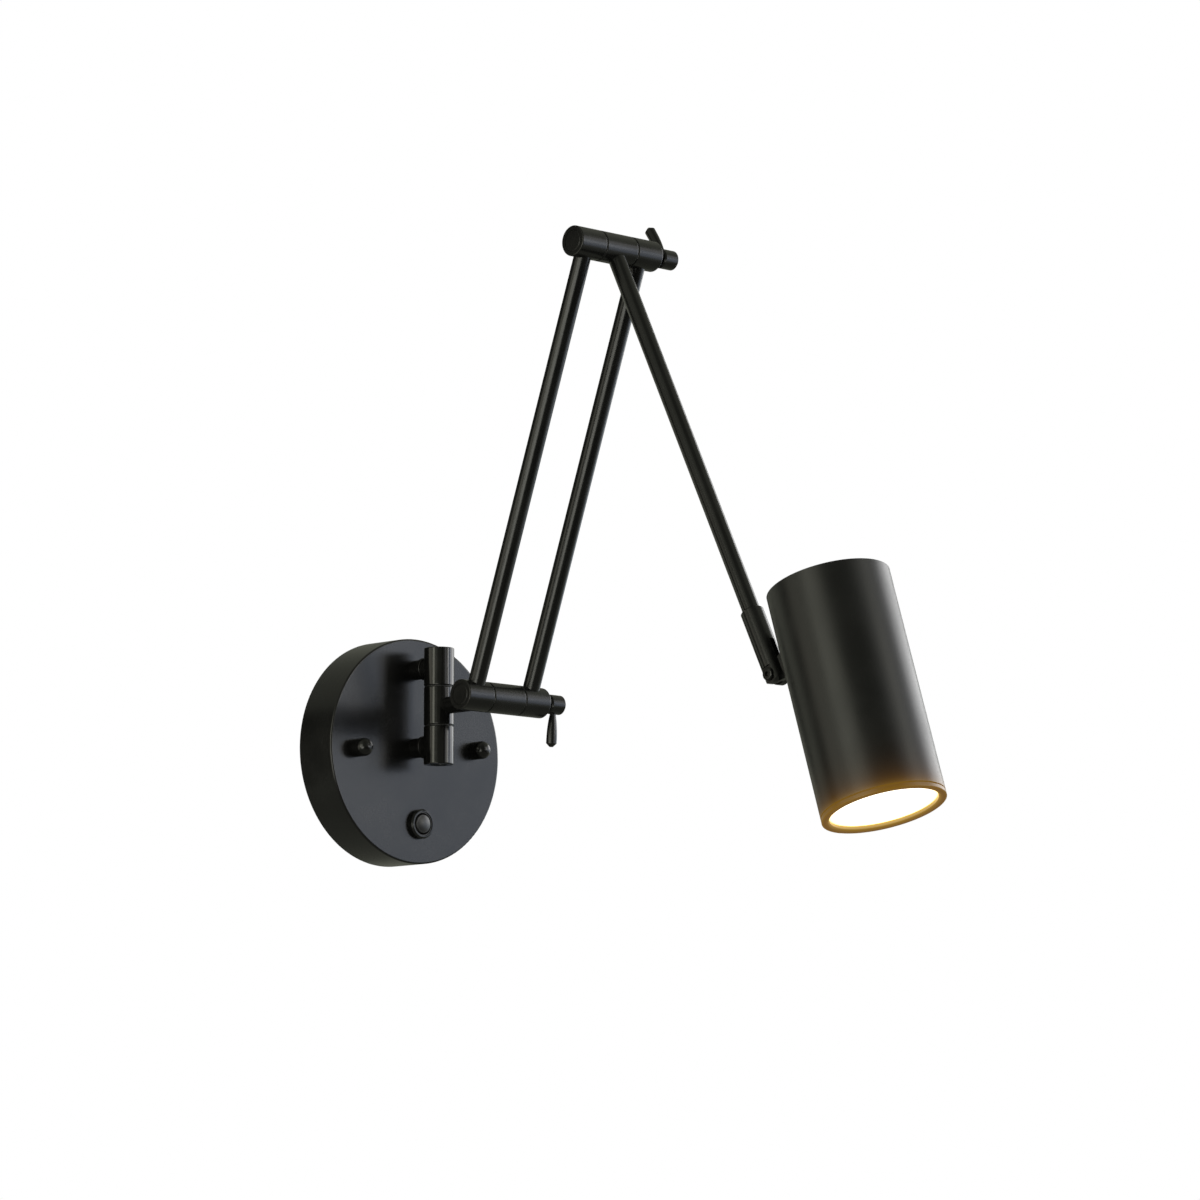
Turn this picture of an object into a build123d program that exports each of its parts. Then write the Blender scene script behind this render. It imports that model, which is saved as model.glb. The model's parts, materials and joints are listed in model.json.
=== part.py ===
from build123d import *
import os
from math import atan2, cos, radians, sin, sqrt

# Swing arm wall lamp, in millimetres: +Z up, the wall at y 0, the lamp facing -Y.
# The origin is the middle of the canopy's back.

# Clearances
running_clearance = 0.05  # radial, a pin in the bore that turns on it
seat_clearance = 0.1  # radial, a piece in its socket
hole_clearance = 0.25  # radial, a screw in a plain hole
face_gap = 0.05  # between flat faces that slide on each other
free_gap = 0.3  # between pieces that never touch
cut_extra = 1.0  # how far a cutter runs past the face that it opens

# Canopy on the wall
canopy_diameter = 120.0
canopy_depth = 25.0
canopy_wall = 1.2
canopy_edge = 1.0

# Strap behind the canopy, its screws and their cap nuts
bracket_width = 20.0
bracket_thickness = 1.6
bracket_step = 3.6  # how far the strap's ends stand off the wall
bracket_tab = 7.5  # from a screw's axis to the strap's end
bracket_corner = 3.0
bracket_bend = 0.6
slot_spacing = 54.0
slot_length = 11.0
slot_width = 4.6
stud_inset = 17.8  # from the canopy's rim to a screw's axis
stud_turn = 3.2  # the screws' line is a little off level
stud_rise = 1.0
stud_diameter = 4.0
stud_head_diameter = 7.5
stud_head_height = 2.6
stud_head_edge = 0.6
stud_slot_width = 1.1
stud_slot_depth = 1.2
step_clearance = 1.4  # from a screw's head to the strap's step
cap_nut_diameter = 9.6
cap_nut_length = 10.6
cap_nut_skirt = 5.6  # straight part, below the groove
cap_nut_groove = 0.5
cap_nut_thread = 7.0  # depth of its blind thread

# Wall hinge
hinge_stand_off = 17.75  # from the canopy's face to the hinge axis
hinge_inset = 37.5  # from the canopy's top rim down to the hinge's middle
knuckle_diameter = 16.0
knuckle_length = 20.4
knuckle_edge = 0.6
hinge_washer_diameter = 15.0
washer_thickness = 0.4
pin_diameter = 6.0
pin_head_diameter = 9.4
pin_head_height = 4.0
pin_head_recess = 0.8
pin_grip = 14.0  # thread in the upper knuckle
pin_key = 5.0  # across the flats of its hexagon socket
pin_key_depth = 2.4
socket_wall = 1.4  # metal left between a tube's socket and the pin's bore

# Posts from the canopy to the hinge
post_diameter = 10.5
post_collar_diameter = 12.0
post_collar_length = 2.6
post_collar_gap = 1.4  # from the collar to the knuckle's side
post_collar_edge = 0.4
post_thread = 8.0
post_thread_proud = 1.5  # thread past the nut
post_washer_diameter = 17.0
post_washer_thickness = 1.2
post_nut_across = 13.0
post_nut_thickness = 5.0

# Push button switch
switch_inset = 21.3  # from the canopy's bottom rim up to the switch's axis
switch_offset = 2.6
switch_bush_diameter = 13.0
switch_bush_wall = 0.7
switch_collar_diameter = 15.8
switch_collar_thickness = 3.2
switch_collar_chamfer = 0.9
switch_bush_sunk = 0.4  # the bush's front below the collar's
switch_body_diameter = 18.0
switch_body_depth = 11.0
switch_blade_width = 3.2
switch_blade_thickness = 0.8
switch_blade_length = 5.0
switch_blade_spacing = 8.0
button_proud = 0.6
button_crown = 0.6
button_travel = 2.0
button_stem = 6.0  # length kept inside the bush

# Terminal block on the strap
block_length = 22.0
block_height = 14.0
block_depth = 10.0
block_edge = 0.8
block_pole_spacing = 10.0
block_wire_diameter = 3.6
block_well_diameter = 4.4
block_well_depth = 3.0
block_screw_spacing = 7.0
block_screw_sunk = 0.8  # a screw's head below the well's rim
block_slot_width = 0.7
block_slot_depth = 0.8

# Tubes of the arms, and the neck
tube_diameter = 9.0
tube_wall = 1.0
neck_reach = 48.0  # hinge axis to the lower bar's axis
rod_span = 242.0  # lower bar's axis to the upper bar's
rod_spacing = 39.0
rod_lean = 20.25  # degrees forward of upright
arm_reach = 259.0  # upper bar's axis to the head's pivot
arm_lean = 26.36  # degrees forward of straight down

# Cross bars, each in three lengths on one axle
bar_diameter = 16.0
bar_length = 58.0
bar_centre_length = 22.0
bar_edge = 0.6
bar_washer_diameter = 15.0
axle_diameter = 6.0
axle_grip = 10.0  # how far the axle reaches into each outer length
axle_edge = 0.4
plug_diameter = 11.0
plug_thickness = 2.0
plug_edge = 0.4

# Clamp screws at the right ends of the bars
clamp_neck_diameter = 6.6
clamp_head_diameter = 10.3
clamp_head_length = 10.0
clamp_head_chamfer = 0.8
lower_clamp_gap = 3.9  # from the bar's end to the head
upper_clamp_gap = 4.7
lower_lever_turn = 184.0  # degrees from upright, forward
upper_lever_turn = -34.5
lever_length = 22.4  # screw's axis to the lever's tip
lever_root_diameter = 3.3
lever_belly_diameter = 5.6
lever_belly_height = 18.6  # from the screw's axis
lever_tip_diameter = 1.8
lever_flare = (0.2, 0, 1)  # direction of its side above the root
lever_seat = 2.0  # from the screw's axis to the lever's foot

# Fork at the arm's end
fork_diameter = 11.8
fork_rise = 37.5  # from the pivot up to the fork's shoulder
fork_end = 4.6  # from the pivot to the ends of the cheeks
fork_socket = 13.0
fork_flats = 10.4
fork_flats_rise = 4.4  # the seats of the screw's head and nut, above the pivot
fork_slot = 3.2
fork_slot_rise = 18.0
fork_chamfer = 0.8
pivot_diameter = 4.0
pivot_head_diameter = 6.6
pivot_head_height = 1.6
pivot_head_edge = 1.0
pivot_key = 2.5  # across the flats of its hexagon socket
pivot_key_depth = 1.0
pivot_nut_across = 6.4
pivot_nut_thickness = 2.2
pivot_thread_proud = 0.6

# Tongue on the head
lug_reach = 15.4  # pivot to the head's side
lug_drop = 28.9  # head's top down to the pivot
lug_side_gap = 0.1  # tongue to each cheek of the fork
lug_eye_diameter = 8.0
lug_root_top = 16.0
lug_root_bottom = 5.0
foot_width = 15.0
foot_top = 19.0
foot_bottom = 8.0
foot_thickness = 3.0
foot_corner = 3.0
foot_screw_spacing = 9.2
foot_screw_height = 6.0
foot_screw_diameter = 3.0
foot_screw_grip = 2.4
foot_screw_head_diameter = 5.2
foot_screw_head_height = 2.0

# Head
head_diameter = 62.0
head_length = 119.0
head_wall = 1.0
head_tilt = 17.65  # degrees, the opening forward of straight down
cap_thickness = 2.0
cap_sunk = 0.4
cap_skirt = 6.0
cap_skirt_wall = 1.2
cap_edge = 0.5
trim_height = 2.4
trim_seam = 0.4
trim_rim = 4.0
trim_edge = 0.4
trim_bevel = 0.8
trim_spigot = 8.0
trim_spigot_wall = 0.85
diffuser_thickness = 2.0
reflector_height = 22.0
reflector_wall = 1.2
reflector_top_diameter = 27.0
board_diameter = 46.0
board_thickness = 1.6
emitter_diameter = 22.0
emitter_thickness = 0.9
sink_base = 5.0
sink_height = 22.0
fin_thickness = 2.0
fin_pitch = 6.5
driver_length = 34.0
driver_width = 24.0
driver_height = 22.0
driver_edge = 1.5

# Places that several pieces share
canopy_radius = canopy_diameter / 2
canopy_face = canopy_depth - canopy_wall  # the face's inner side
hinge_y = -(canopy_depth + hinge_stand_off)
hinge_z = canopy_radius - hinge_inset
washer_space = washer_thickness + 2 * face_gap
knuckle_pitch = knuckle_length + washer_space
post_heights = {"upper": hinge_z + knuckle_pitch, "lower": hinge_z - knuckle_pitch}
switch_z = switch_inset - canopy_radius
stud_reach = canopy_radius - stud_inset
stud_places = [
    (side * stud_reach * cos(radians(stud_turn)), stud_rise + side * stud_reach * sin(radians(stud_turn)))
    for side in (-1, 1)
]
socket_floor = pin_diameter / 2 + running_clearance + socket_wall
tube_socket_radius = tube_diameter / 2 + seat_clearance
head_radius = head_diameter / 2
head_inside = head_radius - head_wall
bar_inner_end = bar_centre_length / 2 + washer_space
axle_half = bar_inner_end + axle_grip

# Frames: the pieces of an arm are built along +Z of its own frame
hinge_frame = Pos(0, hinge_y, hinge_z)
lower_frame = Pos(0, hinge_y - neck_reach, hinge_z)
rods_frame = lower_frame * Rot(rod_lean, 0, 0)
upper_frame = rods_frame * Pos(0, 0, rod_span) * Rot(-rod_lean, 0, 0)
arm_turn = 180 - arm_lean
arm_frame = upper_frame * Rot(arm_turn, 0, 0)
pivot_frame = arm_frame * Pos(0, 0, arm_reach) * Rot(-arm_turn, 0, 0) * Rot(-head_tilt, 0, 0)
head_frame = pivot_frame * Pos(0, -lug_reach - head_radius, lug_drop - head_length)

on_base = (Align.CENTER, Align.CENTER, Align.MIN)


def upright(radius, start, end):
    return Pos(0, 0, start) * Cylinder(radius, end - start, align=on_base)


def sideways(radius, start, end):
    return Rot(0, 90, 0) * upright(radius, start, end)


def outward(radius, start, end, x=0.0, z=0.0):
    """A round along -Y at x, z, from its distance off the wall at the start to that at the end."""
    return Pos(x, 0, z) * Rot(90, 0, 0) * upright(radius, start, end)


def turned(outline):
    """A closed outline of (radius, height) points, revolved about Z."""
    edges = Polyline(*[(r, 0, z) for r, z in outline], close=True)
    return revolve(make_face(edges), Axis.Z)


def dome_arc(radius, base, height):
    """The half section of a round dome, from its rim to its top."""
    ball = (radius**2 + height**2) / (2 * height)
    centre = base + height - ball
    half_turn = atan2(radius, base - centre) / 2
    middle = (ball * sin(half_turn), 0, centre + ball * cos(half_turn))
    return ThreePointArc((radius, 0, base), middle, (0, 0, base + height))


def eased(solid, radius):
    return fillet(solid.edges().filter_by(GeomType.CIRCLE), radius)


def hexagon(across, height):
    return extrude(RegularPolygon(across / 2, 6, major_radius=False), height)


def socket(turn, radius):
    """Cutter for a tube that meets a round bar at the given turn about X from upright."""
    return Rot(turn, 0, 0) * upright(radius, socket_floor, bar_diameter + knuckle_diameter)


# Wall plate

def make_canopy():
    cup = upright(canopy_radius, 0, canopy_depth)
    cup = fillet(cup.edges().sort_by(Axis.Z)[-1], canopy_edge)
    cup = Rot(90, 0, 0) * offset(cup, -canopy_wall, openings=cup.faces().sort_by(Axis.Z)[0])
    through = (canopy_face - cut_extra, canopy_depth + cut_extra)
    for height in post_heights.values():
        cup -= outward(post_thread / 2 + hole_clearance, *through, z=height)
    for x, z in stud_places:
        cup -= outward(stud_diameter / 2 + hole_clearance, *through, x=x, z=z)
    cup -= outward(switch_bush_diameter / 2 + hole_clearance, *through, x=switch_offset, z=switch_z)
    return cup


def make_wall_bracket():
    step_x = stud_places[1][0] - stud_head_diameter / 2 - step_clearance
    end_x = stud_places[1][0] + bracket_tab
    front, back = -(bracket_step + bracket_thickness), -bracket_step
    half = [
        (step_x, 0),
        (step_x, back),
        (end_x, back),
        (end_x, front),
        (step_x - bracket_thickness, front),
        (step_x - bracket_thickness, -bracket_thickness),
    ]
    outline = half + [(-x, y) for x, y in reversed(half)]
    section = make_face(Polyline(*outline, close=True))
    bends = [v for v in section.vertices() if abs(v.X) < end_x - bracket_bend]
    strap = extrude(fillet(bends, bracket_bend), bracket_width / 2, both=True)
    corners = strap.edges().filter_by(Axis.Y)
    strap = fillet([edge for edge in corners if abs(edge.center().X) > end_x - bracket_bend], bracket_corner)
    slot = extrude(SlotOverall(slot_length, slot_width), bracket_thickness + cut_extra, both=True)
    for side in (-1, 1):
        strap -= Pos(side * slot_spacing / 2, 0, 0) * Rot(90, 0, 0) * slot
    for x, z in stud_places:
        strap -= outward(stud_diameter / 2 + seat_clearance, 0, cut_extra - front, x, z)
    return strap


def make_bracket_screws():
    tip = canopy_depth + cap_nut_thread - free_gap
    head = upright(stud_head_diameter / 2, bracket_step - stud_head_height, bracket_step)
    head = fillet(head.edges().sort_by(Axis.Z)[0], stud_head_edge)
    slot = Box(stud_slot_width, stud_head_diameter + cut_extra, stud_slot_depth, align=on_base)
    head -= Pos(0, 0, bracket_step - stud_head_height) * slot
    screw = Rot(90, 0, 0) * (head + upright(stud_diameter / 2, bracket_step, tip))
    return Compound(children=[Pos(x, 0, z) * screw for x, z in stud_places])


def make_cap_nuts():
    radius = cap_nut_diameter / 2
    waist = radius - cap_nut_groove
    dome_start = cap_nut_skirt + cap_nut_groove
    profile = [
        Line((0, 0, 0), (radius, 0, 0)),
        Line((radius, 0, 0), (radius, 0, cap_nut_skirt)),
        Line((radius, 0, cap_nut_skirt), (waist, 0, cap_nut_skirt)),
        Line((waist, 0, cap_nut_skirt), (waist, 0, dome_start)),
        Line((waist, 0, dome_start), (radius, 0, dome_start)),
        dome_arc(radius, dome_start, cap_nut_length - dome_start),
        Line((0, 0, cap_nut_length), (0, 0, 0)),
    ]
    nut = revolve(make_face(profile), Axis.Z)
    nut -= upright(stud_diameter / 2 + running_clearance, 0, cap_nut_thread)
    nut = Pos(0, -canopy_depth, 0) * Rot(90, 0, 0) * nut
    return Compound(children=[Pos(x, 0, z) * nut for x, z in stud_places])


block_front = bracket_thickness + block_depth
well_floor = block_front - block_well_depth
pole_places = [side * block_pole_spacing / 2 for side in (-1, 1)]
well_places = [(x, end * block_screw_spacing / 2) for x in pole_places for end in (-1, 1)]


def make_terminal_block():
    middle = Pos(0, block_depth / 2 - block_front, 0)
    block = Box(block_length, block_depth, block_height)
    block = middle * fillet(block.edges(), block_edge)
    for x in pole_places:
        block -= middle * Pos(x, 0, 0) * Cylinder(block_wire_diameter / 2, block_height + cut_extra)
    for x, z in well_places:
        block -= outward(block_well_diameter / 2, well_floor, block_front + cut_extra, x, z)
    return block


def make_terminal_screws():
    head = block_front - block_screw_sunk
    screw = upright(block_well_diameter / 2 - seat_clearance, well_floor, head)
    slot = Box(block_slot_width, block_well_diameter + cut_extra, block_slot_depth, align=on_base)
    screw = Rot(90, 0, 0) * (screw - Pos(0, 0, head - block_slot_depth) * slot)
    return Compound(children=[Pos(x, 0, z) * screw for x, z in well_places])


# Posts and wall hinge

def make_post(height):
    seat = -hinge_y - socket_floor  # off the wall, where the post ends in the knuckle
    collar_end = -hinge_y - knuckle_diameter / 2 - post_collar_gap
    tail = canopy_face - post_washer_thickness - post_nut_thickness - post_thread_proud
    shaft = upright(post_diameter / 2, canopy_depth, seat)
    collar = upright(post_collar_diameter / 2, collar_end - post_collar_length, collar_end)
    collar = eased(collar, post_collar_edge)
    thread = upright(post_thread / 2, tail, canopy_depth)
    return Pos(0, 0, height) * Rot(90, 0, 0) * (shaft + collar + thread)


def make_post_washers():
    washer = upright(post_washer_diameter / 2, canopy_face - post_washer_thickness, canopy_face)
    washer -= upright(post_thread / 2 + hole_clearance, 0, canopy_depth)
    return Compound(children=[Pos(0, 0, z) * Rot(90, 0, 0) * washer for z in post_heights.values()])


def make_post_nuts():
    start = canopy_face - post_washer_thickness - post_nut_thickness
    nut = Pos(0, 0, start) * hexagon(post_nut_across, post_nut_thickness)
    nut -= upright(post_thread / 2 + running_clearance, 0, canopy_depth)
    return Compound(children=[Pos(0, 0, z) * Rot(90, 0, 0) * nut for z in post_heights.values()])


def make_knuckle(level):
    """One length of the hinge: 1 is the upper, 0 the middle that turns, -1 the lower."""
    half = knuckle_length / 2
    bore_radius = pin_diameter / 2 + running_clearance
    piece = eased(upright(knuckle_diameter / 2, -half, half), knuckle_edge)
    if level == 1:
        piece -= upright(bore_radius, -half - cut_extra, pin_grip - half + free_gap)
    else:
        piece -= upright(bore_radius, -half - cut_extra, half + cut_extra)
    if level == -1:
        recess = pin_head_height + pin_head_recess
        piece -= upright(pin_head_diameter / 2 + seat_clearance, -half - cut_extra, recess - half)
    if level == 0:
        piece -= socket(90, tube_socket_radius)
    else:
        piece -= socket(-90, post_diameter / 2 + seat_clearance)
    return hinge_frame * Pos(0, 0, level * knuckle_pitch) * piece


def make_hinge_pin():
    bottom = -knuckle_pitch - knuckle_length / 2 + pin_head_recess
    top = knuckle_pitch - knuckle_length / 2 + pin_grip
    head = upright(pin_head_diameter / 2, bottom, bottom + pin_head_height)
    pin = head + upright(pin_diameter / 2, bottom, top)
    pin -= Pos(0, 0, bottom) * hexagon(pin_key, pin_key_depth)
    return hinge_frame * pin


def make_hinge_washers():
    start = knuckle_length / 2 + face_gap
    ring = upright(hinge_washer_diameter / 2, start, start + washer_thickness)
    ring -= upright(pin_diameter / 2 + seat_clearance, 0, knuckle_length)
    return hinge_frame * Compound(children=[ring, Rot(180, 0, 0) * ring])


def make_neck():
    end = neck_reach - socket_floor
    neck = upright(tube_diameter / 2, socket_floor, end)
    neck -= upright(tube_diameter / 2 - tube_wall, socket_floor, end)
    return hinge_frame * Rot(90, 0, 0) * neck


# Push button switch

def at_switch(piece):
    return Pos(switch_offset, 0, switch_z) * Rot(90, 0, 0) * piece


switch_front = canopy_depth + switch_collar_thickness
bush_bore = switch_bush_diameter / 2 - switch_bush_wall
button_foot = switch_front - button_stem


def make_switch_body():
    base = canopy_face - switch_body_depth
    body = upright(switch_body_diameter / 2, base, canopy_face)
    body += upright(switch_bush_diameter / 2, base, switch_front - switch_bush_sunk)
    body -= upright(bush_bore, button_foot - button_travel - free_gap, switch_front)
    behind = (Align.CENTER, Align.CENTER, Align.MAX)
    blade = Box(switch_blade_width, switch_blade_thickness, switch_blade_length, align=behind)
    for side in (-1, 1):
        body += Pos(0, side * switch_blade_spacing / 2, base) * blade
    return at_switch(body)


def make_switch_collar():
    ring = upright(switch_collar_diameter / 2, canopy_depth, switch_front)
    ring = chamfer(ring.edges().sort_by(Axis.Z)[-1], switch_collar_chamfer)
    ring -= upright(switch_bush_diameter / 2 + running_clearance, 0, switch_front + cut_extra)
    return at_switch(ring)


def make_switch_button():
    radius = bush_bore - running_clearance
    shoulder = switch_front + button_proud - button_crown
    profile = [
        Line((0, 0, button_foot), (radius, 0, button_foot)),
        Line((radius, 0, button_foot), (radius, 0, shoulder)),
        dome_arc(radius, shoulder, button_crown),
        Line((0, 0, shoulder + button_crown), (0, 0, button_foot)),
    ]
    return at_switch(revolve(make_face(profile), Axis.Z))


# Cross bars

def make_bar_side(frame, side, rod_turn):
    """An outer length of a cross bar: side -1 is the left one with the plug, 1 the right one."""
    piece = eased(sideways(bar_diameter / 2, bar_inner_end, bar_length / 2), bar_edge)
    piece -= sideways(axle_diameter / 2 + running_clearance, 0, bar_length)
    if side < 0:
        start = bar_length / 2 - plug_thickness
        piece -= sideways(plug_diameter / 2 + seat_clearance, start, bar_length)
        piece = mirror(piece, Plane.YZ)
    piece -= Pos(side * rod_spacing / 2, 0, 0) * socket(rod_turn, tube_socket_radius)
    return frame * piece


def make_bar_centre(frame, tube_turn):
    half = bar_centre_length / 2
    piece = eased(sideways(bar_diameter / 2, -half, half), bar_edge)
    piece -= sideways(axle_diameter / 2, -bar_length, bar_length)
    piece -= socket(tube_turn, tube_socket_radius)
    return frame * piece


def make_axle(frame):
    return frame * eased(sideways(axle_diameter / 2, -axle_half, axle_half), axle_edge)


def make_bar_washers(frame):
    start = bar_centre_length / 2 + face_gap
    ring = sideways(bar_washer_diameter / 2, start, start + washer_thickness)
    ring -= sideways(axle_diameter / 2 + seat_clearance, 0, bar_length)
    return frame * Compound(children=[ring, mirror(ring, Plane.YZ)])


def make_end_plug(frame):
    plug = sideways(plug_diameter / 2, -bar_length / 2, plug_thickness - bar_length / 2)
    return frame * fillet(plug.edges().sort_by(Axis.X)[0], plug_edge)


def clamp_head_start(gap):
    return bar_length / 2 + gap


def make_clamp_screw(frame, gap, turn):
    start = clamp_head_start(gap)
    head = sideways(clamp_head_diameter / 2, start, start + clamp_head_length)
    head = chamfer(head.edges().filter_by(GeomType.CIRCLE), clamp_head_chamfer)
    neck = sideways(clamp_neck_diameter / 2, bar_length / 2 + free_gap, start)
    thread = sideways(axle_diameter / 2, axle_half + free_gap, start)
    seat = Pos(start + clamp_head_length / 2, 0, 0) * Rot(turn, 0, 0)
    hole = seat * upright(lever_root_diameter / 2, lever_seat, clamp_head_diameter)
    return frame * (head + neck + thread - hole)


def make_clamp_lever(frame, gap, turn):
    root, belly, tip = lever_root_diameter / 2, lever_belly_diameter / 2, lever_tip_diameter / 2
    flare = clamp_head_diameter / 2 + free_gap
    tip_start = lever_length - (belly - tip)
    profile = [
        Line((0, 0, lever_seat), (root, 0, lever_seat)),
        Line((root, 0, lever_seat), (root, 0, flare)),
        Spline((root, 0, flare), (belly, 0, lever_belly_height), tangents=(lever_flare, (0, 0, 1))),
        Line((belly, 0, lever_belly_height), (belly, 0, tip_start)),
        Line((belly, 0, tip_start), (tip, 0, lever_length)),
        Line((tip, 0, lever_length), (0, 0, lever_length)),
        Line((0, 0, lever_length), (0, 0, lever_seat)),
    ]
    lever = revolve(make_face(profile), Axis.Z)
    place = Pos(clamp_head_start(gap) + clamp_head_length / 2, 0, 0) * Rot(turn, 0, 0)
    return frame * place * lever


# Arms

def make_rod(side):
    end = rod_span - socket_floor
    rod = upright(tube_diameter / 2, socket_floor, end)
    rod -= upright(tube_diameter / 2 - tube_wall, socket_floor, end)
    return rods_frame * Pos(side * rod_spacing / 2, 0, 0) * rod


fork_top = arm_reach - fork_rise
arm_tube_end = fork_top + fork_socket


def make_upper_arm():
    tube = upright(tube_diameter / 2, socket_floor, arm_tube_end)
    tube -= upright(tube_diameter / 2 - tube_wall, socket_floor, arm_tube_end)
    return arm_frame * tube


def make_arm_fork():
    radius = fork_diameter / 2
    rounding = arm_reach + fork_end - radius
    shank = upright(radius, fork_top, rounding)
    shank = chamfer(shank.edges().sort_by(Axis.Z)[0], fork_chamfer)
    end = upright(radius, rounding, rounding + radius)
    end &= Pos(0, 0, rounding) * sideways(radius, -radius, radius)
    fork = shank + end
    fork -= upright(tube_socket_radius, fork_top - cut_extra, arm_tube_end)
    flats_start = arm_reach - fork_flats_rise
    depth = fork_diameter + cut_extra
    side_box = Box(fork_diameter, depth, fork_flats_rise + fork_diameter, align=on_base)
    for side in (-1, 1):
        fork -= Pos(side * (fork_flats + fork_diameter) / 2, 0, flats_start) * side_box
    slot = Box(fork_slot, depth, fork_slot_rise + fork_diameter, align=on_base)
    fork -= Pos(0, 0, arm_reach - fork_slot_rise) * slot
    fork -= Pos(0, 0, arm_reach) * sideways(pivot_diameter / 2 + seat_clearance, -depth, depth)
    return arm_frame * fork


def make_pivot_screw():
    side = fork_flats / 2
    head = sideways(pivot_head_diameter / 2, -side - pivot_head_height, -side)
    head = fillet(head.edges().sort_by(Axis.X)[0], pivot_head_edge)
    head -= Pos(-side - pivot_head_height, 0, 0) * Rot(0, 90, 0) * hexagon(pivot_key, pivot_key_depth)
    shank = sideways(pivot_diameter / 2, -side, side + pivot_nut_thickness + pivot_thread_proud)
    return pivot_frame * (head + shank)


def make_pivot_nut():
    nut = Rot(0, 90, 0) * hexagon(pivot_nut_across, pivot_nut_thickness)
    nut -= sideways(pivot_diameter / 2 + running_clearance, -fork_flats, fork_flats)
    return pivot_frame * Pos(fork_flats / 2, 0, 0) * nut


# Head

head_axis_y = -lug_reach - head_radius  # from the pivot
foot_screw_places = [side * foot_screw_spacing / 2 for side in (-1, 1)]


def across(radius, start, end, x):
    """A round along +Y in the pivot's frame, at the foot screws' height, off the head's axis."""
    return Pos(x, head_axis_y, foot_screw_height) * Rot(-90, 0, 0) * upright(radius, start, end)


def make_head_lug():
    eye = Circle(lug_eye_diameter / 2)
    root_y = -lug_reach - foot_thickness
    root = Line((root_y, lug_root_top), (root_y, -lug_root_bottom))
    tongue = Plane.YZ * make_hull(eye.edges() + root.edges())
    tongue = extrude(tongue, fork_slot / 2 - lug_side_gap, both=True)
    foot = Box(foot_width, foot_top + foot_bottom, head_radius + foot_thickness, align=on_base)
    foot = fillet(foot.edges().filter_by(Axis.Z), foot_corner)
    foot = Pos(0, head_axis_y, (foot_top - foot_bottom) / 2) * Rot(-90, 0, 0) * foot
    around = Pos(0, head_axis_y, 0) * Cylinder(head_radius + foot_thickness, head_length)
    lug = tongue + (foot & around)
    lug -= Pos(0, head_axis_y, 0) * Cylinder(head_radius, head_length)
    lug -= sideways(pivot_diameter / 2 + running_clearance, -fork_diameter, fork_diameter)
    for x in foot_screw_places:
        end = head_radius + foot_screw_grip + free_gap
        lug -= across(foot_screw_diameter / 2 + running_clearance, 0, end, x)
    return pivot_frame * lug


def make_lug_screws():
    edge = foot_screw_spacing / 2 + foot_screw_head_diameter / 2
    seat = sqrt(head_inside**2 - edge**2)  # where the head's rim meets the shell's inner side
    screws = []
    for x in foot_screw_places:
        head = across(foot_screw_head_diameter / 2, seat - foot_screw_head_height, seat, x)
        screws.append(head + across(foot_screw_diameter / 2, seat, head_radius + foot_screw_grip, x))
    return pivot_frame * Compound(children=screws)


def make_head_shell():
    seam = trim_height + trim_seam
    shell = upright(head_radius, seam, head_length) - upright(head_inside, 0, head_length)
    shell = head_frame * shell
    for x in foot_screw_places:
        shell -= pivot_frame * across(foot_screw_diameter / 2 + hole_clearance, 0, head_radius + cut_extra, x)
    return shell


def make_top_cap():
    radius = head_inside - seat_clearance
    top = head_length - cap_sunk
    disc = upright(radius, top - cap_thickness, top)
    disc = fillet(disc.edges().sort_by(Axis.Z)[-1], cap_edge)
    skirt = upright(radius, top - cap_thickness - cap_skirt, top - cap_thickness)
    skirt -= upright(radius - cap_skirt_wall, 0, head_length)
    return head_frame * (disc + skirt)


opening_radius = head_radius - trim_rim
spigot_radius = head_inside - seat_clearance
spigot_bore = spigot_radius - trim_spigot_wall


def make_trim_ring():
    lip = fillet(upright(head_radius, 0, trim_height).edges().filter_by(GeomType.CIRCLE), trim_edge)
    lip -= upright(opening_radius, -cut_extra, trim_height + cut_extra)
    front = lip.edges().filter_by(GeomType.CIRCLE).group_by(Axis.Z)[0]
    lip = chamfer(front.sort_by(SortBy.RADIUS)[0], trim_bevel)
    spigot = upright(spigot_radius, trim_height, trim_height + trim_spigot)
    return head_frame * (lip + spigot - upright(spigot_bore, trim_height, head_length))


diffuser_top = trim_height + diffuser_thickness
board_bottom = diffuser_top + reflector_height
sink_bottom = board_bottom + board_thickness


def make_diffuser():
    return head_frame * upright(spigot_bore - seat_clearance, trim_height, diffuser_top)


def make_reflector():
    wide, narrow = spigot_bore - seat_clearance, reflector_top_diameter / 2
    outline = [
        (wide - reflector_wall, diffuser_top),
        (wide, diffuser_top),
        (narrow + reflector_wall, board_bottom),
        (narrow, board_bottom),
    ]
    return head_frame * turned(outline)


def make_led_board():
    return head_frame * upright(board_diameter / 2, board_bottom, sink_bottom)


def make_led_emitter():
    return head_frame * upright(emitter_diameter / 2, board_bottom - emitter_thickness, board_bottom)


def make_heat_sink():
    radius = head_inside - seat_clearance
    top = sink_bottom + sink_height
    count = int((radius - fin_thickness) // fin_pitch)
    fins = [
        Pos(step * fin_pitch, 0, sink_bottom) * Box(fin_thickness, head_diameter, sink_height, align=on_base)
        for step in range(-count, count + 1)
    ]
    within = upright(radius, sink_bottom, top)
    sink = upright(radius, sink_bottom, sink_bottom + sink_base)
    return head_frame * (sink + [within & fin for fin in fins])


def make_led_driver():
    case = Box(driver_length, driver_width, driver_height, align=on_base)
    case = fillet(case.edges(), driver_edge)
    return head_frame * Pos(0, 0, sink_bottom + sink_height) * case


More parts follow.
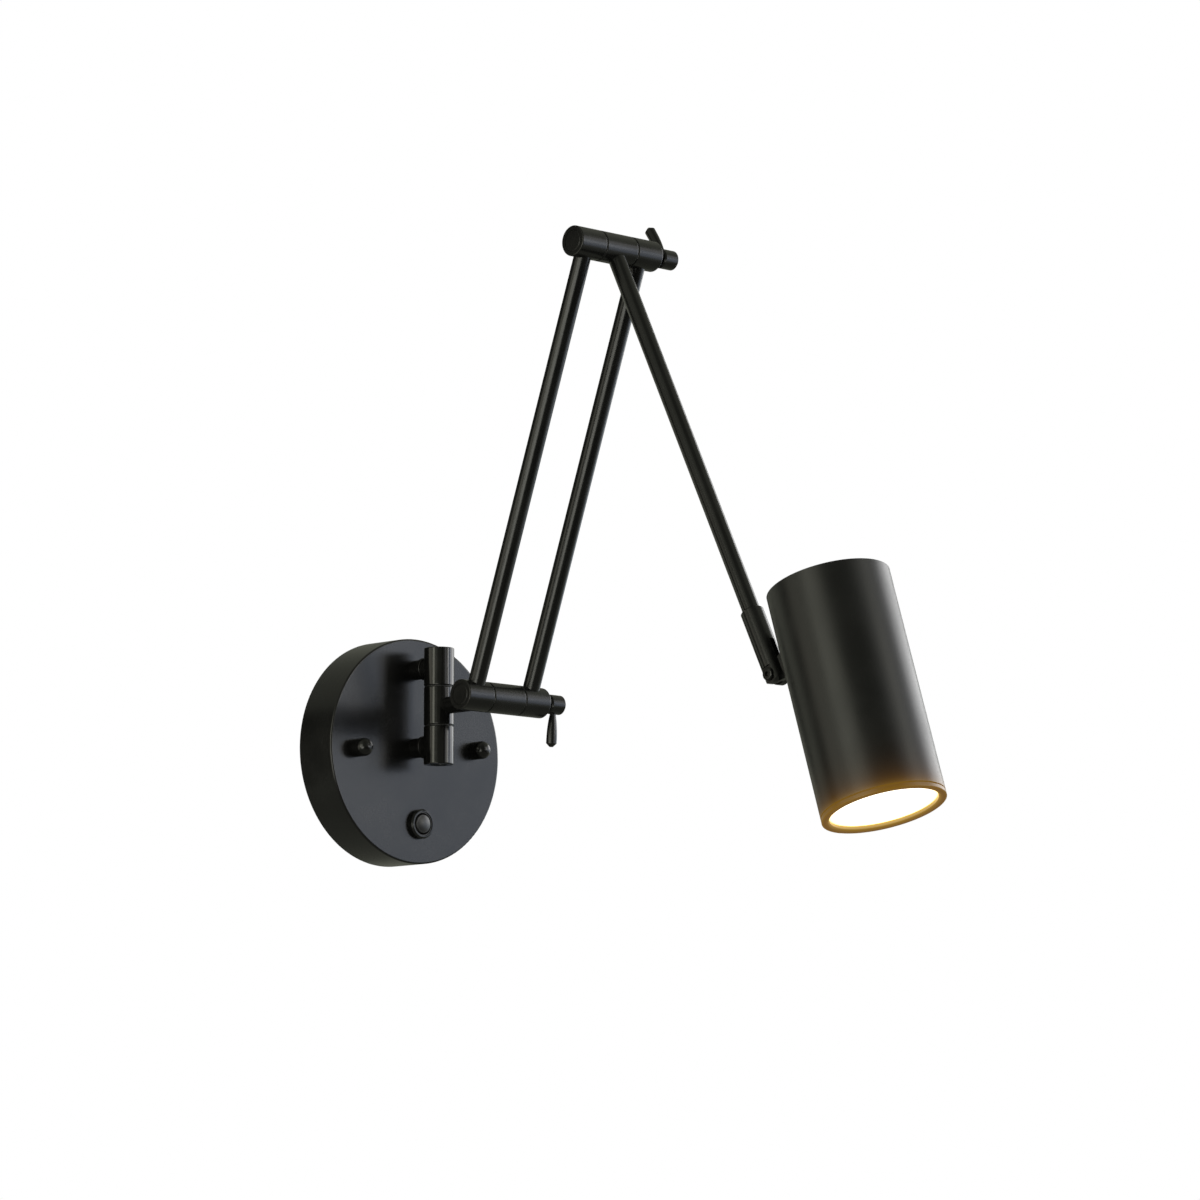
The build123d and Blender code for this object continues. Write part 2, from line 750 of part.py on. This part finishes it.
pieces = {
    "wall_bracket": make_wall_bracket(),
    "bracket_screws": make_bracket_screws(),
    "canopy": make_canopy(),
    "cap_nuts": make_cap_nuts(),
    "terminal_block": make_terminal_block(),
    "terminal_screws": make_terminal_screws(),
    "post_washers": make_post_washers(),
    "post_nuts": make_post_nuts(),
    "upper_knuckle": make_knuckle(1),
    "middle_knuckle": make_knuckle(0),
    "lower_knuckle": make_knuckle(-1),
    "hinge_pin": make_hinge_pin(),
    "hinge_washers": make_hinge_washers(),
    "neck": make_neck(),
    "switch_body": make_switch_body(),
    "switch_collar": make_switch_collar(),
    "switch_button": make_switch_button(),
    "left_rod": make_rod(-1),
    "right_rod": make_rod(1),
    "upper_arm": make_upper_arm(),
    "arm_fork": make_arm_fork(),
    "pivot_screw": make_pivot_screw(),
    "pivot_nut": make_pivot_nut(),
    "head_lug": make_head_lug(),
    "lug_screws": make_lug_screws(),
    "head_shell": make_head_shell(),
    "top_cap": make_top_cap(),
    "trim_ring": make_trim_ring(),
    "diffuser": make_diffuser(),
    "reflector": make_reflector(),
    "led_board": make_led_board(),
    "led_emitter": make_led_emitter(),
    "heat_sink": make_heat_sink(),
    "led_driver": make_led_driver(),
}
for name, height in post_heights.items():
    pieces[f"{name}_post"] = make_post(height)
bars = {
    "lower": (lower_frame, rod_lean, -90, lower_clamp_gap, lower_lever_turn),
    "upper": (upper_frame, rod_lean + 180, arm_turn, upper_clamp_gap, upper_lever_turn),
}
for name, (frame, rod_turn, tube_turn, gap, lever_turn) in bars.items():
    pieces[f"{name}_bar_left"] = make_bar_side(frame, -1, rod_turn)
    pieces[f"{name}_bar_right"] = make_bar_side(frame, 1, rod_turn)
    pieces[f"{name}_bar_centre"] = make_bar_centre(frame, tube_turn)
    pieces[f"{name}_bar_washers"] = make_bar_washers(frame)
    pieces[f"{name}_axle"] = make_axle(frame)
    pieces[f"{name}_end_plug"] = make_end_plug(frame)
    pieces[f"{name}_clamp_screw"] = make_clamp_screw(frame, gap, lever_turn)
    pieces[f"{name}_clamp_lever"] = make_clamp_lever(frame, gap, lever_turn)

os.makedirs("parts", exist_ok=True)
for name, shape in pieces.items():
    export_step(shape, f"parts/{name}.step")
for name, place in (("lower bar", lower_frame), ("upper bar", upper_frame), ("head pivot", pivot_frame)):
    print(name, "axis at", [round(value, 2) for value in place.position])
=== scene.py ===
import json
import math
import bpy
from mathutils import Matrix, Vector


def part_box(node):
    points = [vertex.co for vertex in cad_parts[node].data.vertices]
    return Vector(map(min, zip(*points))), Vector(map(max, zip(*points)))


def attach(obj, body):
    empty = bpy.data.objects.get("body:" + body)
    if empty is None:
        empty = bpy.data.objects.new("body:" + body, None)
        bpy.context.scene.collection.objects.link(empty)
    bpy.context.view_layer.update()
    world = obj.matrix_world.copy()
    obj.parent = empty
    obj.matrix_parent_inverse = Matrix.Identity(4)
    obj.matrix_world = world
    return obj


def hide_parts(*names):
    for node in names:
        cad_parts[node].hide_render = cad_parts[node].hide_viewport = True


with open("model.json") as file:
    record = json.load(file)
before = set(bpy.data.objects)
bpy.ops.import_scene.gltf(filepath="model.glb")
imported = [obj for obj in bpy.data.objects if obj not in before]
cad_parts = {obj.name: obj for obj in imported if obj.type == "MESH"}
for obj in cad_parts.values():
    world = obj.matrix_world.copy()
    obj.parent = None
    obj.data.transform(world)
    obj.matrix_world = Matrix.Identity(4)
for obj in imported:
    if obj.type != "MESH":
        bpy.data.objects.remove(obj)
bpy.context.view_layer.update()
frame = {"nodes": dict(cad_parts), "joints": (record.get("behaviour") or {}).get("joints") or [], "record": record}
nodes = frame["nodes"]
joints = {joint["name"]: joint for joint in frame["joints"]}


class Wire:  # one node socket, so that shader maths reads as plain sums
    def __init__(self, tree, socket=None):
        self.tree, self.socket = tree, socket

    def fill(self, inputs, values):  # links, numbers or colours into a node's sockets
        for name, value in values.items():
            if isinstance(value, Wire):
                self.tree.links.new(value.socket, inputs[name])
            else:
                inputs[name].default_value = value

    def node(self, kind, settings, sockets, out=0):
        made = self.tree.nodes.new("ShaderNode" + kind)
        for name, value in settings.items():
            setattr(made, name, value)
        self.fill(made.inputs, sockets)
        return Wire(self.tree, made.outputs[out])

    def maths(self, operation, left, right=0.0):
        return self.node("Math", {"operation": operation}, {0: left, 1: right})

    def vectors(self, operation, *operands, out="Value"):
        return self.node("VectorMath", {"operation": operation}, dict(enumerate(operands)), out)

    def __add__(self, other):
        return self.maths("ADD", self, other)

    def __radd__(self, other):
        return self.maths("ADD", other, self)

    def __sub__(self, other):
        return self.maths("SUBTRACT", self, other)

    def __rsub__(self, other):
        return self.maths("SUBTRACT", other, self)

    def __mul__(self, other):
        return self.maths("MULTIPLY", self, other)

    def __rmul__(self, other):
        return self.maths("MULTIPLY", other, self)

    def __truediv__(self, other):
        return self.maths("DIVIDE", self, other)

    def __rtruediv__(self, other):
        return self.maths("DIVIDE", other, self)

    def __pow__(self, other):
        return self.maths("POWER", self, other)

    def __rpow__(self, other):
        return self.maths("POWER", other, self)

    def ramp(self, low, high):  # 0 below low, 1 above high, eased between
        return self.node("MapRange", {"interpolation_type": "SMOOTHSTEP"},
                         {"Value": self, "From Min": low, "From Max": high})

    def sway(self, amount):  # a mask from 0 to 1 as a change of half the amount each way
        return (self - 0.5) * amount

    def blend(self, first, second):  # two colours by this mask; 6, 7 and 2 are the node's colour sockets
        return self.node("Mix", {"data_type": "RGBA"}, {"Factor": self, 6: first, 7: second}, out=2)


pureBlack, pureWhite = (0.0, 0.0, 0.0), (1.0, 1.0, 1.0)


def rgb(colour):
    return (*colour, 1.0)


def newFinish(name):
    finish = bpy.data.materials.new(name)
    finish.use_nodes = True
    return finish, Wire(finish.node_tree)


def feed(finish, values):  # into the sockets of the finish's own shader
    tree = finish.node_tree
    Wire(tree).fill(tree.nodes["Principled BSDF"].inputs, values)
    return finish


def place(wire):  # a point on the piece, in metres, that moves with it
    return wire.node("TexCoord", {}, {}, out="Object")


def noise(wire, where, size, detail=2.0, rough=0.5):  # size of one blotch in metres
    return wire.node("TexNoise", {}, {"Vector": where, "Scale": 1.0 / size,
                                      "Detail": detail, "Roughness": rough})


def relief(wire, strength, depth, height, under=None):  # depth in metres; under is a coarser relief below it
    values = {"Strength": strength, "Distance": depth, "Height": height}
    if under:
        values["Normal"] = under
    return wire.node("Bump", {}, values)


# the open end of the head, measured from its pivot at rest
headAxis = {
    "tilt": math.radians(17.65), "reach": 0.0464, "drop": 0.0901,
    "rimRadius": 0.027, "recess": 0.0024,   # the light's edge, and its depth in the ring
}
pivot = Vector(joints["head_tilt"]["pos_m"])
headUp = Vector((0.0, math.sin(headAxis["tilt"]), math.cos(headAxis["tilt"])))
headFront = Vector((0.0, -math.cos(headAxis["tilt"]), math.sin(headAxis["tilt"])))
openingCentre = pivot + headFront * headAxis["reach"] - headUp * headAxis["drop"]


def rimDistance(wire, where):  # metres across from the edge of the light, and up from the open end
    arm = wire.vectors("SUBTRACT", where, openingCentre, out="Vector")
    height = wire.vectors("DOT_PRODUCT", arm, headUp)
    length = wire.vectors("LENGTH", arm)
    radius = wire.maths("SQRT", length * length - height * height)
    return wire.maths("ABSOLUTE", radius - headAxis["rimRadius"]), height


# black coat of the metal; sizes in metres, and each mask runs from its first number to its second
coat = {
    "black": (0.0035, 0.0035, 0.0033),
    "haze": (0.0055, 0.0055, 0.005),   # thin patches of the coat
    "worn": (0.014, 0.014, 0.0135),    # paler along rubbed edges
    "roughness": 0.25, "ior": 1.5,
    "patch": 0.03, "patchMask": (0.35, 0.7), "patchRough": 0.05,
    "peel": 0.0016, "peelHeight": 0.000012,
    "grain": 0.0004, "grainHeight": 0.000006, "grainRough": 0.08,
    "relief": 0.5,
    "edge": 0.0005, "edgeMask": (0.004, 0.12), "edgeSamples": 6,
    "rub": 0.004, "rubMask": (0.4, 0.65), "rubGloss": 0.06,
}


def edgeMask(wire, look):  # 1 along convex and concave edges, 0 on the flats
    rounded = wire.node("Bevel", {"samples": look["edgeSamples"]}, {"Radius": look["edge"]})
    straight = wire.node("NewGeometry", {}, {}, out="Normal")
    return (1.0 - wire.vectors("DOT_PRODUCT", rounded, straight)).ramp(*look["edgeMask"])


def paintedRimGlow(wire, where, glow):  # painted glow round the open end: emission colour on the coat that stands in for the light it seems to catch there
    across, height = rimDistance(wire, where)
    depth = wire.maths("ABSOLUTE", height - headAxis["recess"])
    besideLight = math.e ** ((across + depth) / -glow["fade"])
    roundLip = across.ramp(*glow["lip"]) * math.e ** (height / -glow["lipReach"])
    upShell = math.e ** (height / -glow["reach"])
    shine = upShell.blend(rgb(pureBlack), rgb(glow["brown"]))
    shine = roundLip.blend(shine, rgb(glow["orange"]))
    return besideLight.blend(shine, rgb(glow["amber"]))


def powderCoat(name, look, glow=None):
    finish, wire = newFinish(name)
    where = place(wire)
    patches = noise(wire, where, look["patch"], detail=4.0, rough=0.6).ramp(*look["patchMask"])
    peel = noise(wire, where, look["peel"])
    grain = noise(wire, where, look["grain"], detail=1.0)
    rubbed = edgeMask(wire, look) * noise(wire, where, look["rub"], detail=3.0).ramp(*look["rubMask"])
    colour = patches.blend(rgb(look["black"]), rgb(look["haze"]))
    roughness = look["roughness"] + patches.sway(look["patchRough"]) + grain.sway(look["grainRough"])
    skin = relief(wire, look["relief"], look["peelHeight"], peel)
    values = {
        "Base Color": rubbed.blend(colour, rgb(look["worn"])),
        "Roughness": roughness - rubbed * look["rubGloss"],
        "Normal": relief(wire, look["relief"], look["grainHeight"], grain, under=skin),
        "IOR": look["ior"],
    }
    # painted rim glow, fed in as emission
    if glow:
        values["Emission Color"] = paintedRimGlow(wire, where, glow)
        values["Emission Strength"] = glow["strength"]
    return feed(finish, values)


# painted glow: emission colours on the black coat near the open end, standing in for the light's bloom
paintedRimGlowLook = {
    "strength": 1.0,
    "amber": (0.75, 0.46, 0.07), "fade": 0.0016,   # painted amber glow beside the light
    "orange": (0.18, 0.085, 0.0), "lip": (0.0025, 0.004), "lipReach": 0.0018,   # painted orange glow on the outer lip of the ring
    "brown": (0.12, 0.046, 0.001), "reach": 0.0057,   # painted brown glow up the shell
}
blackCoat = powderCoat("blackCoat", coat)
# the shell's coat carries the painted rim glow
paintedGlowCoat = powderCoat("paintedGlowCoat", {**coat, "roughness": 0.36}, paintedRimGlowLook)
hardware = {**coat, "roughness": 0.22, "patch": 0.012, "peelHeight": 0.000006}
blackHardware = powderCoat("blackHardware", hardware)
smoothCoat = powderCoat("smoothCoat", {**hardware, "roughness": 0.14})  # the hinge is smoother
flatCoat = powderCoat("flatCoat", {**coat, "roughness": 0.55})  # the head's top mirrors less

nylon = {
    "colour": (0.012, 0.012, 0.012), "roughness": 0.5,
    "patch": 0.006, "patchLift": 1.5,   # how much paler a patch gets
    "grain": 0.0003, "grainHeight": 0.00001, "grainRough": 0.2, "relief": 0.4,
}


def mouldedNylon(name, look):
    finish, wire = newFinish(name)
    where = place(wire)
    grain = noise(wire, where, look["grain"])
    patches = noise(wire, where, look["patch"], detail=3.0)
    pale = [look["patchLift"] * part for part in look["colour"]]
    return feed(finish, {
        "Base Color": patches.blend(rgb(look["colour"]), rgb(pale)),
        "Roughness": look["roughness"] + grain.sway(look["grainRough"]),
        "Normal": relief(wire, look["relief"], look["grainHeight"], grain),
    })


blackNylon = mouldedNylon("blackNylon", nylon)
palePlastic = mouldedNylon("palePlastic", {**nylon, "colour": (0.55, 0.54, 0.51), "roughness": 0.42})
phosphor = mouldedNylon("phosphor", {**nylon, "colour": (0.6, 0.42, 0.06), "roughness": 0.6})

steel = {
    "colour": (0.55, 0.56, 0.57), "dull": (0.36, 0.37, 0.38), "metallic": 0.95, "roughness": 0.34,
    "scratch": 0.0005, "stretch": 14.0,   # width of a scratch, and its length in widths
    "scratchHeight": 0.00001, "scratchRough": 0.2, "relief": 0.25,
    "bloom": 0.008, "bloomMask": (0.4, 0.7), "bloomRough": 0.12,   # dull patches of the plating
}


def platedSteel(name, look):
    finish, wire = newFinish(name)
    where = place(wire)
    stretch = look["stretch"]
    stretched = wire.node("Mapping", {}, {"Vector": where, "Scale": (1.0, stretch, stretch)})
    lines = noise(wire, stretched, look["scratch"] * stretch, detail=3.0, rough=0.6)
    bloom = noise(wire, where, look["bloom"], detail=4.0, rough=0.6).ramp(*look["bloomMask"])
    return feed(finish, {
        "Base Color": bloom.blend(rgb(look["colour"]), rgb(look["dull"])),
        "Metallic": look["metallic"],
        "Roughness": look["roughness"] + lines.sway(look["scratchRough"]) + bloom * look["bloomRough"],
        "Normal": relief(wire, look["relief"], look["scratchHeight"], lines),
    })


zincSteel = platedSteel("zincSteel", steel)
aluminium = {**steel, "colour": (0.75, 0.76, 0.77), "dull": (0.6, 0.61, 0.62)}
bareAluminium = platedSteel("bareAluminium", aluminium)

light = {
    "centre": (1.0, 0.9, 0.72), "edge": (1.0, 0.66, 0.26), "strength": 2.4,
    "fringe": 0.0044,   # width of the warmer edge
    "unlit": (0.8, 0.76, 0.68), "roughness": 0.5,
    "frost": 0.0006, "frostHeight": 0.00001, "frostRough": 0.2, "relief": 0.3,
}


def frostedLight(name, look):
    finish, wire = newFinish(name)
    where = place(wire)
    frost = noise(wire, where, look["frost"])
    across = rimDistance(wire, where)[0]
    fringe = 1.0 - across.ramp(0.0, look["fringe"])
    return feed(finish, {
        "Base Color": rgb(look["unlit"]),
        "Roughness": look["roughness"] + frost.sway(look["frostRough"]),
        "Normal": relief(wire, look["relief"], look["frostHeight"], frost),
        "Emission Color": fringe.blend(rgb(look["centre"]), rgb(look["edge"])),
        "Emission Strength": look["strength"],
    })


litDiffuser = frostedLight("litDiffuser", light)

slotFinish = {
    "black_coat": blackCoat,
    "black_hardware": blackHardware,
    "zinc_steel": zincSteel,
    "black_nylon": blackNylon,
    "pale_plastic": palePlastic,
    "frosted_light": litDiffuser,
    "bare_aluminium": bareAluminium,
    "phosphor": phosphor,
}
nodeFinish = {  # pieces that differ from their slot
    # the shell and trim ring wear the coat with the painted rim glow
    "head_shell": paintedGlowCoat,
    "trim_ring": paintedGlowCoat,
    "top_cap": flatCoat,
    "upper_knuckle": smoothCoat,
    "middle_knuckle": smoothCoat,
    "lower_knuckle": smoothCoat,
}
for row in frame["record"]["subparts"]:
    piece = nodes[row["node"]]
    piece.data.materials.clear()
    piece.data.materials.append(nodeFinish.get(row["node"], slotFinish[row["material_slot"]]))


def addObject(name, data):
    made = bpy.data.objects.new(name, data)
    bpy.context.scene.collection.objects.link(made)
    return made


def addMesh(name, points, faces):
    mesh = bpy.data.meshes.new(name)
    mesh.from_pydata(points, [], faces)
    return addObject(name, mesh)


# the push button, with its rounded edge and the dark gap round it
pushButton = {
    "radius": 0.005, "edge": 0.0005, "crown": 0.0009,
    "proud": 0.0005,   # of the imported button's front
    "depth": 0.006, "steps": 8, "sides": 64,
    "roughness": 0.36,
}


def turnedPiece(name, outline, centre, sides):  # outline: radius and depth towards the wall, from the tip
    turns = [math.tau * step / sides for step in range(sides)]
    points = [centre + Vector((radius * math.cos(turn), depth, radius * math.sin(turn)))
              for radius, depth in outline for turn in turns]
    faces = [tuple(range(sides)), tuple(reversed(range(len(points) - sides, len(points))))]
    for row in range(0, len(points) - sides, sides):
        for step in range(sides):
            here, after = row + step, row + (step + 1) % sides
            faces.append((here, here + sides, after + sides, after))
    made = addMesh(name, points, faces)
    made.data.shade_smooth()
    return made


def buttonOutline(look):  # a low crown, then a rounded edge, then the straight side
    steps, edge, crownRadius = look["steps"], look["edge"], look["radius"] - look["edge"]
    outline = []
    for step in range(1, steps + 1):
        part = step / steps
        outline.append((crownRadius * part, look["crown"] * part ** 2))
    for step in range(1, steps + 1):
        bend = math.pi / 2 * step / steps
        outline.append((crownRadius + edge * math.sin(bend), look["crown"] + edge * (1.0 - math.cos(bend))))
    return outline + [(look["radius"], look["depth"])]


low, high = [Vector(corner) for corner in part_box("switch_button")]
tip = Vector(((low.x + high.x) / 2, low.y - pushButton["proud"], (low.z + high.z) / 2))
button = turnedPiece("push_button", buttonOutline(pushButton), tip, pushButton["sides"])
buttonNylon = mouldedNylon("buttonNylon", {**nylon, "roughness": pushButton["roughness"]})
button.data.materials.append(buttonNylon)
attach(button, "button")
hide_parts("switch_button")
print("push button turned")

# camera of the photo
view = {
    "eye": (-1.72319, -1.93287, -0.27638),
    "turn": 0.7726, "rise": 0.1383,   # radians from straight at the wall, and up
    "lens": 145.755, "sensor": 36.0,
    "clip": (0.05, 100.0),
}
turn, rise = view["turn"], view["rise"]
ahead = Vector((math.sin(turn) * math.cos(rise), math.cos(turn) * math.cos(rise), math.sin(rise)))
aside = Vector((math.cos(turn), -math.sin(turn), 0.0))
above = aside.cross(ahead)
camera = addObject("photoCamera", bpy.data.cameras.new("photoCamera"))
camera.data.sensor_width, camera.data.lens = view["sensor"], view["lens"]
camera.data.clip_start, camera.data.clip_end = view["clip"]
facing = Matrix((aside, above, -ahead)).transposed().to_4x4()
camera.matrix_world = Matrix.Translation(view["eye"]) @ facing
bpy.context.scene.camera = camera

# soft boxes and grey cards stand in a ring round the lamp: side in degrees from the camera, + to its right
ring = {
    "centre": Vector((0.0, -0.18, 0.1)),
    "boxReach": 2.0, "cardReach": 2.3,
    "cardStep": 0.02,   # each card stands this much nearer than the one before
    "bend": 10.0,   # degrees between a card's folds
}


def ringPoint(side, height, reach):  # height in degrees too, seen from the middle of the ring
    bearing = math.atan2(-ahead.y, -ahead.x) + math.radians(side)
    climb = math.tan(math.radians(height))
    return ring["centre"] + Vector((math.cos(bearing), math.sin(bearing), climb)) * reach


def sheet(name, points, faces):
    made = addMesh(name, points, faces)
    return made


def levelSheet(name, half, height):
    corners = [(-half, -half), (half, -half), (half, half), (-half, half)]
    return sheet(name, [(x, y, height) for x, y in corners], [(0, 1, 2, 3)])


def bentSheet(name, sides, heights, reach):
    steps = math.ceil((sides[1] - sides[0]) / ring["bend"])
    turns = [sides[0] + (sides[1] - sides[0]) * step / steps for step in range(steps + 1)]
    points = [ringPoint(side, height, reach) for side in turns for height in heights]
    return sheet(name, points, [(2 * k, 2 * k + 2, 2 * k + 3, 2 * k + 1) for k in range(steps)])


softBoxes = {
    "lowLeftBox": {"sides": (-34, -7), "heights": (-25, -2), "radiance": 2.85, "colour": (1.0, 1.0, 0.9)},
    "rodBox": {"sides": (-47, -34), "heights": (-8, -2), "radiance": 3.6, "colour": (1.0, 1.0, 0.9)},
    "midLeftBox": {"sides": (-52, -36), "heights": (-2, 11), "radiance": 2.4, "colour": (1.0, 0.99, 0.83)},
    "highLeftBox": {"sides": (-50, -19), "heights": (11, 24), "radiance": 1.9, "colour": (1.0, 0.99, 0.83)},
    "keyBox": {"sides": (60, 80), "heights": (-2, 35), "radiance": 1.2, "colour": (1.0, 0.98, 0.85)},
    "stripBox": {"sides": (74, 84), "heights": (3, 13), "radiance": 4.0, "colour": (1.0, 1.0, 1.0)},
    "rimBox": {"sides": (107, 150), "heights": (3, 30), "radiance": 2.5, "colour": (1.0, 1.0, 1.0)},
    "edgeBox": {"sides": (98, 107), "heights": (2, 14), "radiance": 2.6, "colour": (0.95, 0.96, 1.0)},
    "coolBox": {"sides": (107, 154), "heights": (-10, 3), "radiance": 0.6, "colour": (0.5, 0.75, 1.0)},
}
for name, box in softBoxes.items():
    middle = sum(box["sides"]) / 2
    bottom, top = [ringPoint(middle, height, ring["boxReach"]) for height in box["heights"]]
    lamp = bpy.data.lights.new(name, "AREA")
    lamp.shape = "RECTANGLE"
    lamp.size = 2 * ring["boxReach"] * math.tan(math.radians(box["sides"][1] - middle))
    lamp.size_y = top.z - bottom.z
    lamp.energy = box["radiance"] * math.pi * lamp.size * lamp.size_y
    lamp.color = box["colour"]
    stand = addObject(name, lamp)
    stand.location = (bottom + top) / 2
    inward = ring["centre"] - ringPoint(middle, 0, ring["boxReach"])
    stand.rotation_euler = inward.to_track_quat("-Z", "Y").to_euler()
    stand.visible_camera = False

# the cards show only in the gloss of the coat; a later one stands before an earlier one
greyCard, warmCard, coolCard = (1.0, 1.03, 0.84), (1.0, 0.97, 0.8), (0.75, 0.84, 1.0)
cards = {
    "backCard": {"sides": (205, 275), "heights": (-26, 62), "level": 0.04, "colour": greyCard},
    "lowBackLeftCard": {"sides": (205, 255), "heights": (-26, 8), "level": 0.5, "colour": greyCard},
    "highBackLeftCard": {"sides": (205, 265), "heights": (24, 62), "level": 0.22, "colour": greyCard},
    "behindCard": {"sides": (150, 205), "heights": (-26, 62), "level": 0.23, "colour": greyCard},
    "leftCard": {"sides": (-85, -15), "heights": (-26, 62), "level": 0.38, "colour": greyCard},
    "frontCard": {"sides": (-15, 45), "heights": (-26, 62), "level": 0.15, "colour": greyCard},
    "rightCard": {"sides": (45, 150), "heights": (30, 62), "level": 0.33, "colour": greyCard},
    "lowRightCard": {"sides": (0, 85), "heights": (-26, -9), "level": 0.0, "colour": greyCard},
    "lowBackCard": {"sides": (85, 150), "heights": (-26, -10), "level": 0.35, "colour": greyCard},
    "warmLeftCard": {"sides": (-85, -58), "heights": (-26, 12), "level": 1.1, "colour": warmCard},
    "coolRightCard": {"sides": (80, 107), "heights": (-14, 16), "level": 1.3, "colour": coolCard},
    "lowCard": {"half": 5.0, "height": -0.88, "level": 0.15, "colour": greyCard},
    "highCard": {"half": 5.0, "height": 4.0, "level": 0.2, "colour": greyCard},
}


def cardFinish(name, colour, level):
    finish = newFinish(name)[0]
    return feed(finish, {"Base Color": rgb(pureBlack), "Specular IOR Level": 0.0,
                         "Emission Color": rgb(colour), "Emission Strength": level})


for order, (name, card) in enumerate(cards.items()):
    if "half" in card:
        made = levelSheet(name, card["half"], card["height"])
    else:
        reach = ring["cardReach"] - order * ring["cardStep"]
        made = bentSheet(name, card["sides"], card["heights"], reach)
    made.data.materials.append(cardFinish(name, card["colour"], card["level"]))
    made.visible_camera = made.visible_diffuse = made.visible_shadow = made.visible_transmission = False


def backdropRays(wire):  # 1 for the rays that show the white backdrop itself, 0 for those that only light
    rays = wire.node("LightPath", {}, {}, out="Is Camera Ray")
    shown = rays
    for kind in ("Is Glossy Ray", "Is Transmission Ray"):
        shown = wire.maths("MAXIMUM", shown, Wire(wire.tree, rays.socket.node.outputs[kind]))
    return shown


floorLook = {
    "height": -1.5, "half": 40.0,
    "colour": (0.8, 0.8, 0.8), "roughness": 0.9, "specular": 0.1,
    "paleness": 0.9,   # share of plain white; the rest shows shadows
}
floor = levelSheet("studioFloor", floorLook["half"], floorLook["height"])
floorPaint, wire = newFinish("floorPaint")
feed(floorPaint, {"Base Color": rgb(floorLook["colour"]), "Roughness": floorLook["roughness"],
                  "Specular IOR Level": floorLook["specular"]})
paint = Wire(wire.tree, wire.tree.nodes["Principled BSDF"].outputs["BSDF"])
white = wire.node("Emission", {}, {"Color": rgb(pureWhite), "Strength": 1.0})
paleShare = backdropRays(wire) * floorLook["paleness"]
surface = wire.node("MixShader", {}, {"Fac": paleShare, 1: paint, 2: white})
wire.fill(wire.tree.nodes["Material Output"].inputs, {"Surface": surface})
floor.data.materials.append(floorPaint)

backdrop = {"white": 1.0, "soft": 0.45}   # strength where it is seen, and where it only lights
world = bpy.data.worlds.new("studioWorld")
world.use_nodes = True
bpy.context.scene.world = world
sky = Wire(world.node_tree)
level = backdrop["soft"] + backdropRays(sky) * (backdrop["white"] - backdrop["soft"])
sky.fill(world.node_tree.nodes["Background"].inputs, {"Color": rgb(pureWhite), "Strength": level})

bpy.context.scene.view_settings.view_transform = "Standard"
print("studio and camera set")
